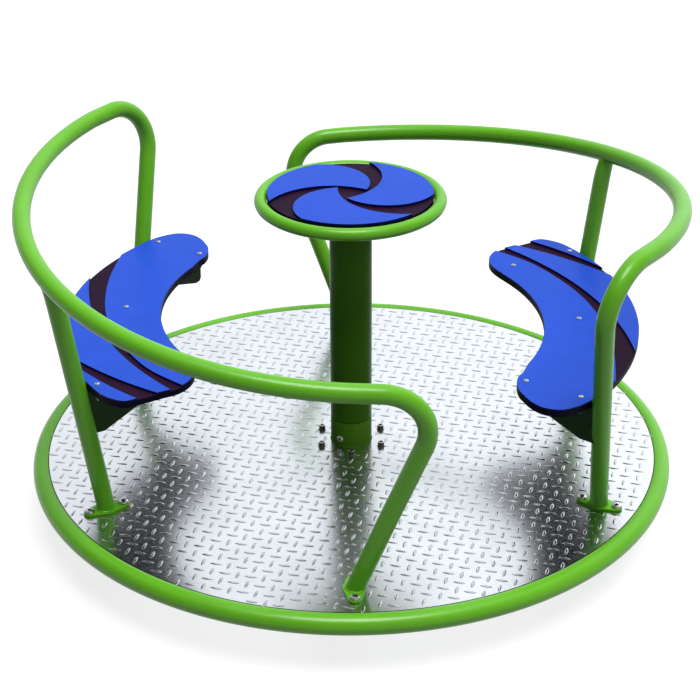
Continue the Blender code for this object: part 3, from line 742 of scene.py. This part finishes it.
pathOfRail = railPath()
railOverPost = railPoint(post["angle"])
railWay = (railPoint(post["angle"] + 1) - railPoint(post["angle"] - 1)).normalized()
postFoot = polar(post["angle"], footCircle, deckTop)
postTop = polar(post["angle"], post["topRadius"], railOverPost.z - post["drop"])
postWay = (postTop - postFoot).normalized()
postLines = copeLines(postFoot, postWay, railOverPost, railWay)
legs = ((pathOfRail[1], (pathOfRail[1] - pathOfRail[0]).normalized(), "front"),
        (pathOfRail[-2], (pathOfRail[-2] - pathOfRail[-1]).normalized(), "back"), (postFoot, postWay, "post"))
for sideName, turn in (("right", 0), ("left", 180)):
    railPiece = tubeAlong("handRail_" + sideName, pathOfRail, railTube, rail["sides"])
    cutLevel(railPiece, rail["footCut"])
    dress(turnPiece(railPiece, turn), "platform", limePaint)
    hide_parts("rail_" + sideName)
    postPiece = cutLevel(copedPost("railPost_" + sideName, postLines, postWay), rail["footCut"])
    dress(turnPiece(postPiece, turn), "platform", limePaint)
    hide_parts("post_" + sideName)
    for spot, way, label in legs:
        bead = weldRing("footWeld_%s_%s" % (sideName, label), footWeldLine(spot, way), weld["footBead"],
                        weld["ripples"])
        dress(turnPiece(bead, turn), "platform", limePaint)
    bead = weldRing("postWeld_" + sideName, [met for start, run, met in postLines], weld["postBead"],
                    weld["ripples"])
    dress(turnPiece(bead, turn), "platform", limePaint)
print("rails and posts made")


# seat boards: a dark core with blue blades on it; tips are points, edges of blades are angles and radii,
# and circles are a middle point and a radius
seat = {"outer": 0.691, "outerFrom": -41, "outerTo": 36, "outerSteps": 60,
        "innerCentre": (-0.0225, -0.0412), "inner": 0.4846, "innerFrom": -28, "innerTo": 31, "innerSteps": 48,
        "coreTop": seatTop - 0.005, "bladeGap": 0.0001, "edge": 0.0010, "curveSteps": 6,
        "farTip": ((0.530, 0.430), (0.499, 0.441), (0.465, 0.424), (0.425, 0.400),
                   (0.385, 0.376), (0.362, 0.340), (0.356, 0.300), (0.366, 0.258)),
        "nearTip": ((0.390, -0.311), (0.378, -0.332), (0.3715, -0.362), (0.3735, -0.396), (0.3815, -0.4195),
                    (0.396, -0.451), (0.420, -0.478), (0.455, -0.4885), (0.487, -0.4785))}
blades = {"innerEdge": ((-30, 0.689), (-20, 0.648), (-10, 0.617), (0, 0.594), (12, 0.571), (25, 0.552),
                        (35, 0.541), (50, 0.525)),
          "innerBehind": ((-60, 0.90), (-38, 0.735)), "innerFront": ((60, 0.45), (0, 0.35), (-60, 0.45)),
          "middleInner": (-0.2719, -0.2546, 0.9314), "middleOuter": (-0.0522, -0.4039, 0.9409),
          "middleFrom": -28, "middleTo": 48, "middleSteps": 60,
          "outerInner": (-0.0739, -0.2714, 0.8890), "outerFrom": 55, "outerTo": 5, "outerSteps": 40,
          "outerBehind": ((5, 0.95), (30, 0.95), (55, 0.95)), "maskReach": 0.03}


def smoothThrough(points):
    # an even curve through all points but the first and last, which only steer it
    run = []
    for i in range(1, len(points) - 2):
        a, b, c, d = [Vector(p) for p in points[i - 1:i + 3]]
        for k in range(seat["curveSteps"]):
            t = k / seat["curveSteps"]
            p = 0.5 * (2 * b + (c - a) * t + (2 * a - 5 * b + 4 * c - d) * t * t
                       + (3 * b - 3 * c + d - a) * t ** 3)
            run.append((p.x, p.y))
    return run


def seatOutline():
    steps = seat["outerSteps"]
    outer = [polar(seat["outerFrom"] + (seat["outerTo"] - seat["outerFrom"]) * k / steps, seat["outer"])
             for k in range(steps + 1)]
    inner = []
    steps = seat["innerSteps"]
    for k in range(steps + 1):
        x, y = polar(seat["innerTo"] + (seat["innerFrom"] - seat["innerTo"]) * k / steps, seat["inner"])
        inner.append((x + seat["innerCentre"][0], y + seat["innerCentre"][1]))
    far = smoothThrough([outer[-4], outer[-1], *seat["farTip"], inner[0], inner[3]])
    near = smoothThrough([inner[-4], inner[-1], *seat["nearTip"], outer[0], outer[3]])
    return outer[:-1] + far + inner[:-1] + near


def keepInside(piece, mask):
    step = piece.modifiers.new("keep", "BOOLEAN")
    step.operation = "INTERSECT"
    step.solver = "EXACT"
    step.object = mask
    bpy.context.view_layer.update()
    graph = bpy.context.evaluated_depsgraph_get()
    kept = bpy.data.meshes.new_from_object(piece.evaluated_get(graph))
    piece.modifiers.clear()
    piece.data = kept
    bpy.data.objects.remove(mask, do_unlink=True)
    return piece


def circleRun(circle, start, end, steps):
    # points of a circle, at even angles as seen from the middle of the deck
    cx, cy, radius = circle
    points = []
    for k in range(steps + 1):
        dx, dy = polar(start + (end - start) * k / steps, 1.0)
        along = dx * cx + dy * cy
        reach = along + math.sqrt(along ** 2 - cx ** 2 - cy ** 2 + radius ** 2)
        points.append((dx * reach, dy * reach))
    return points


def bladeRegions():
    # rough areas that cut the board's outline into its three blades
    start, end, steps = blades["middleFrom"], blades["middleTo"], blades["middleSteps"]
    edgeLine = [polar(a, r) for a, r in blades["innerEdge"]]
    inner = [polar(a, r) for a, r in blades["innerBehind"]]
    inner += smoothThrough([edgeLine[0], *edgeLine, edgeLine[-1]])
    inner += [polar(a, r) for a, r in blades["innerFront"]]
    middle = circleRun(blades["middleOuter"], start, end, steps)
    middle += circleRun(blades["middleInner"], end, start, steps)
    outer = circleRun(blades["outerInner"], blades["outerFrom"], blades["outerTo"], blades["outerSteps"])
    outer += [polar(a, r) for a, r in blades["outerBehind"]]
    return {"inner": inner, "middle": middle, "outer": outer}


for sideName, turn in (("right", 0), ("left", 180)):
    core = turnPiece(prismFrom("seatCore_" + sideName, seatOutline(), seatUnder, seat["coreTop"]), turn)
    dressBoard(core, "platform", darkCore, seat["edge"])
    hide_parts("seat_core_" + sideName)
    for label, region in bladeRegions().items():
        blade = prismFrom("seatBlade_%s_%s" % (sideName, label), seatOutline(),
                          seat["coreTop"] + seat["bladeGap"], seatTop)
        mask = prismFrom("mask", region, seatTop - blades["maskReach"], seatTop + blades["maskReach"])
        keepInside(blade, mask)
        dressBoard(turnPiece(blade, turn), "platform", blueSkin, seat["edge"])
        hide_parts("seat_blade_%s_%s" % (sideName, label))
print("seats made")


# bolts through the seats, at a radius and an angle each; the middle one has no bracket and no nut below it
seatBolt = {"spots": ((0.6755, 32.5), (0.498, 33.3), (0.5495, -3.8), (0.529, -42), (0.665, -40.3)),
            "middle": 2, "radius": 0.0065, "height": 0.0030, "socket": 0.0020, "depth": 0.0016, "sides": 24,
            "turnEach": 31}
boltEnd = {"radius": 0.0040, "edge": 0.0005, "low": seatUnder - 0.0215, "nut": 0.0072, "nutEdge": 0.0006,
           "nutLow": seatUnder - 0.0148, "top": seatUnder - 0.0056}
for sideName, turn in (("right", 0), ("left", 180)):
    for k, (r, angle) in enumerate(seatBolt["spots"]):
        head = socketBolt("seatBolt_%s_%d" % (sideName, k + 1), buttonHead, seatBolt, seatBolt["sides"])
        turnPiece(head, seatBolt["turnEach"] * k, polar(angle + turn, r, seatTop))
        dress(head, "platform", screwSteel, 30)

for sideName, turn in (("right", 0), ("left", 180)):
    for k, (r, angle) in enumerate(seatBolt["spots"]):
        if k == seatBolt["middle"]:
            continue
        profile = [(0, boltEnd["low"]), (boltEnd["radius"] - boltEnd["edge"], boltEnd["low"]),
                   (boltEnd["radius"], boltEnd["low"] + boltEnd["edge"]),
                   (boltEnd["radius"], boltEnd["nutLow"]),
                   (boltEnd["nut"] - boltEnd["nutEdge"], boltEnd["nutLow"]),
                   (boltEnd["nut"], boltEnd["nutLow"] + boltEnd["edge"]),
                   (boltEnd["nut"], boltEnd["top"]), (0, boltEnd["top"])]
        end = turnedPiece("seatBoltEnd_%s_%d" % (sideName, k + 1), profile, seatBolt["sides"],
                          polar(angle + turn, r))
        dress(end, "platform", boltSteel, 30)
print("seat bolts made")


# seat brackets: an upright web with a leaf folded out under the board; fold gives the leaf's side, and trim
# draws its inner end in
bracket = {"inner": 0.495, "levelAt": 0.655, "leafEnd": 0.685, "leafWidth": 0.050, "endDepth": 0.043,
           "corner": 0.014, "plate": 0.005, "overlap": 0.001, "top": seatUnder - 0.0003, "edge": 0.0010,
           "post": {"angle": footAngles[1], "depth": 0.118, "fold": 1, "trim": 0},
           "leg": {"angle": -38.3, "depth": 0.100, "fold": -1, "trim": 0.015}}
webCorner = {"long": 1.2, "near": 0.35, "rise": 0.30}      # its three points, in shares of the corner


def radiusAt(path, height):
    for one, two in zip(path[:-1], path[1:]):
        if one.z <= height <= two.z:
            point = one.lerp(two, (height - one.z) / (two.z - one.z))
            return math.hypot(point.x, point.y)


def makeBracket(name, spec, path):
    top, inner, corner = bracket["top"], bracket["inner"], bracket["corner"]
    low, endLow, half = top - spec["depth"], top - bracket["endDepth"], bracket["plate"] / 2
    web = prismFrom("web", [(inner, top), (radiusAt(path, top), top), (radiusAt(path, low), low),
                            (bracket["levelAt"], low),
                            (inner + corner * webCorner["long"], endLow - corner * webCorner["near"]),
                            (inner + corner * webCorner["near"], endLow + corner * webCorner["rise"]),
                            (inner, endLow + corner * webCorner["long"])], -half, half)
    web.data.transform(Matrix.Rotation(math.radians(90), 4, "X"))
    near, far = spec["fold"] * (half - bracket["overlap"]), spec["fold"] * bracket["leafWidth"]
    start = inner + spec["trim"]
    leaf = prismFrom("leaf", [(start, near), (bracket["leafEnd"], near), (bracket["leafEnd"], far),
                              (start + corner, far), (start, far - spec["fold"] * corner)],
                     top - bracket["plate"], top)
    return turnPiece(joinPieces(name, [web, leaf]), spec["angle"])


legPath = pathOfRail[:rail["kneeSteps"] + 4]      # the front leg, past the height of the seat
for sideName, turn in (("right", 0), ("left", 180)):
    for label, path in (("post", [postFoot, postTop]), ("leg", legPath)):
        piece = turnPiece(makeBracket("seatBracket_%s_%s" % (sideName, label), bracket[label], path), turn)
        dress(roundEdges(piece, bracket["edge"]), "platform", bracketShadedPaint)
        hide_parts("seat_bracket_%s_%s" % (sideName, label))
print("brackets made")


# table: a ring, a dark core and three blades; a circle is given by angle, distance and radius
table = {"ringRadius": 0.2115, "ringTube": 0.015, "ringZ": rimZ + 0.6643, "ringSteps": 160, "ringSides": 36,
         "panel": 0.1958, "panelSteps": 180, "coreLow": rimZ + 0.6641, "coreTop": rimZ + 0.6641 + 0.0134,
         "bladeGap": 0.0001, "top": rimZ + 0.6831, "convex": (21.8, 0.0927, 0.1198),
         "concave": (128.9, 0.1271, 0.1551), "edgeFrom": -3.2, "edgeTo": 74.0, "tipNear": (-88, 0.040),
         "arcSteps": 40, "edge": 0.0012}
ringLine = [polar(360 * k / table["ringSteps"], table["ringRadius"], table["ringZ"])
            for k in range(table["ringSteps"])]
ringPiece = tubeAlong("tableRing", ringLine, table["ringTube"], table["ringSides"], closed=True)
dress(ringPiece, "base", limePaint)
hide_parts("table_ring")


def arcBetween(centre, radius, start, end):
    a = math.atan2(start[1] - centre[1], start[0] - centre[0])
    b = math.atan2(end[1] - centre[1], end[0] - centre[0])
    turn = (b - a + math.pi) % (2 * math.pi) - math.pi
    angles = [a + turn * k / table["arcSteps"] for k in range(table["arcSteps"] + 1)]
    return [(centre[0] + radius * math.cos(angle), centre[1] + radius * math.sin(angle)) for angle in angles]


def whereCirclesMeet(one, rOne, two, rTwo, wanted):
    # of the two meeting points, the one nearest to the wanted spot
    dx, dy = two[0] - one[0], two[1] - one[1]
    apart = math.hypot(dx, dy)
    along = (rOne ** 2 - rTwo ** 2 + apart ** 2) / (2 * apart)
    off = math.sqrt(rOne ** 2 - along ** 2)
    found = [(one[0] + (along * dx - sign * off * dy) / apart,
              one[1] + (along * dy + sign * off * dx) / apart) for sign in (1, -1)]
    return min(found, key=lambda p: math.hypot(p[0] - wanted[0], p[1] - wanted[1]))


def tableBladeOutline():
    convex, concave = polar(*table["convex"][:2]), polar(*table["concave"][:2])
    rConvex, rConcave, panel = table["convex"][2], table["concave"][2], table["panel"]
    start = whereCirclesMeet((0, 0), panel, convex, rConvex, polar(table["edgeFrom"], panel))
    end = whereCirclesMeet((0, 0), panel, concave, rConcave, polar(table["edgeTo"], panel))
    tip = whereCirclesMeet(convex, rConvex, concave, rConcave, polar(*table["tipNear"]))
    return (arcBetween((0, 0), panel, start, end) + arcBetween(concave, rConcave, end, tip)[1:]
            + arcBetween(convex, rConvex, tip, start)[1:-1])


panelLine = [polar(360 * k / table["panelSteps"], table["panel"]) for k in range(table["panelSteps"])]
panelCore = prismFrom("tableCore", panelLine, table["coreLow"], table["coreTop"])
dressBoard(panelCore, "base", darkCore, table["edge"])
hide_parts("table_core")
for k in range(3):
    blade = prismFrom("tableBlade%d" % (k + 1), tableBladeOutline(), table["coreTop"] + table["bladeGap"],
                      table["top"])
    dressBoard(turnPiece(blade, 120 * k), "base", blueSkin, table["edge"])
    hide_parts("table_blade_%d" % (k + 1))
print("table made")


# frame nodes that keep their own shape, with their finish and the width of their rounded edges
keptNodes = {"ground_foot": (zincSteel, 0.0010), "table_plate": (limePaint, 0.0008)}
for k in range(6):
    keptNodes["arm_%d" % (k + 1)] = (limePaint, 0.0020)
for name, (material, width) in keptNodes.items():
    node = nodes[name]
    node.data.materials.clear()
    node.data.materials.append(material)
    roundEdges(node, width)
print("frame nodes dressed")


# floor and soft studio light; softness is the angle that a lamp fills in the sky
studio = {"floor": (0.30, 0.30, 0.30), "floorGlow": 0.74, "floorSize": 120, "floorMottle": 3,
          "floorRough": 0.9, "floorRoughSway": 0.05,
          "wallAim": (0.10, 0.90, 0.43), "wallFrom": 0.25, "wallTo": 0.85, "bright": (1.13, 1.18, 1.23),
          "dim": (0.25, 0.27, 0.25), "below": (0.12, 0.13, 0.115), "belowFrom": -0.06, "belowTo": 0.02,
          "sideReach": 0.38, "leftStrength": 0.70, "rightStrength": 1.22}
lamps = {"overheadSoftLight": {"power": 2.95, "softness": 42, "tilt": (8, 12, 0), "gleam": False},
         "frontFill": {"power": 0.22, "softness": 70, "tilt": (72, 0, 38), "gleam": True},
         "paintGleam": {"power": 3.6, "softness": 30, "tilt": (14, 0, 0), "gleam": True}}


def makeFloor():
    bpy.ops.mesh.primitive_plane_add(size=studio["floorSize"], location=(0, 0, 0))
    floor = bpy.context.object
    floor.name = "paleFloor"
    rough, sway = studio["floorRough"], studio["floorRoughSway"]
    material, tree, shader = startMaterial("paleFloorPaint", studio["floor"], rough)
    mottle = noise(tree, studio["floorMottle"], 3)
    tree.links.new(spread(tree, mottle, *contrast["gloss"], rough - sway, rough + sway),
                   shader.inputs["Roughness"])
    shader.inputs["Emission Color"].default_value = (1, 1, 1, 1)
    shader.inputs["Emission Strength"].default_value = studio["floorGlow"]
    floor.data.materials.append(material)
    floor.visible_diffuse = False


def makeWorld():
    # a white wall behind and above, dim on the near side and darkest below, stronger towards the right
    world = bpy.data.worlds.new("studioWorld")
    scene.world = world
    world.use_nodes = True
    tree = world.node_tree
    where = tree.nodes.new("ShaderNodeTexCoord")
    aim = tree.nodes.new("ShaderNodeVectorMath")
    aim.operation = "DOT_PRODUCT"
    aim.inputs[1].default_value = studio["wallAim"]
    tree.links.new(where.outputs["Generated"], aim.inputs[0])
    ramp = tree.nodes.new("ShaderNodeMapRange")
    ramp.interpolation_type = "SMOOTHSTEP"
    ramp.inputs["From Min"].default_value = studio["wallFrom"]
    ramp.inputs["From Max"].default_value = studio["wallTo"]
    tree.links.new(aim.outputs["Value"], ramp.inputs["Value"])
    walls = blendColours(tree, ramp.outputs["Result"], studio["dim"], studio["bright"])
    split = tree.nodes.new("ShaderNodeSeparateXYZ")
    tree.links.new(where.outputs["Generated"], split.inputs[0])
    rise = spread(tree, split.outputs["Z"], studio["belowFrom"], studio["belowTo"], 0, 1)
    strength = spread(tree, split.outputs["X"], -studio["sideReach"], studio["sideReach"],
                      studio["leftStrength"], studio["rightStrength"])
    background = tree.nodes["Background"]
    tree.links.new(strength, background.inputs["Strength"])
    tree.links.new(blendColours(tree, rise, studio["below"], walls), background.inputs["Color"])


def makeLamp(name, spec):
    data = bpy.data.lights.new(name, "SUN")
    data.energy = spec["power"]
    data.angle = math.radians(spec["softness"])
    lamp = bpy.data.objects.new(name, data)
    lamp.rotation_euler = [math.radians(a) for a in spec["tilt"]]
    lamp.visible_glossy = spec["gleam"]
    scene.collection.objects.link(lamp)
    return lamp


def onlyOnPaint(lamp):
    # the lamp puts a highlight on the lime paint and lights nothing else, not even the column's green, which
    # is the lime paint darkened as painted shade
    painted = bpy.data.collections.new("paintedPieces")
    scene.collection.children.link(painted)
    for thing in scene.objects:
        if thing.type == "MESH" and thing.data.materials and thing.data.materials[0] == limePaint:
            painted.objects.link(thing)
    lamp.visible_diffuse = False
    lamp.light_linking.receiver_collection = painted


makeFloor()
makeWorld()
madeLamps = {name: makeLamp(name, spec) for name, spec in lamps.items()}
onlyOnPaint(madeLamps["paintGleam"])
print("studio lit")
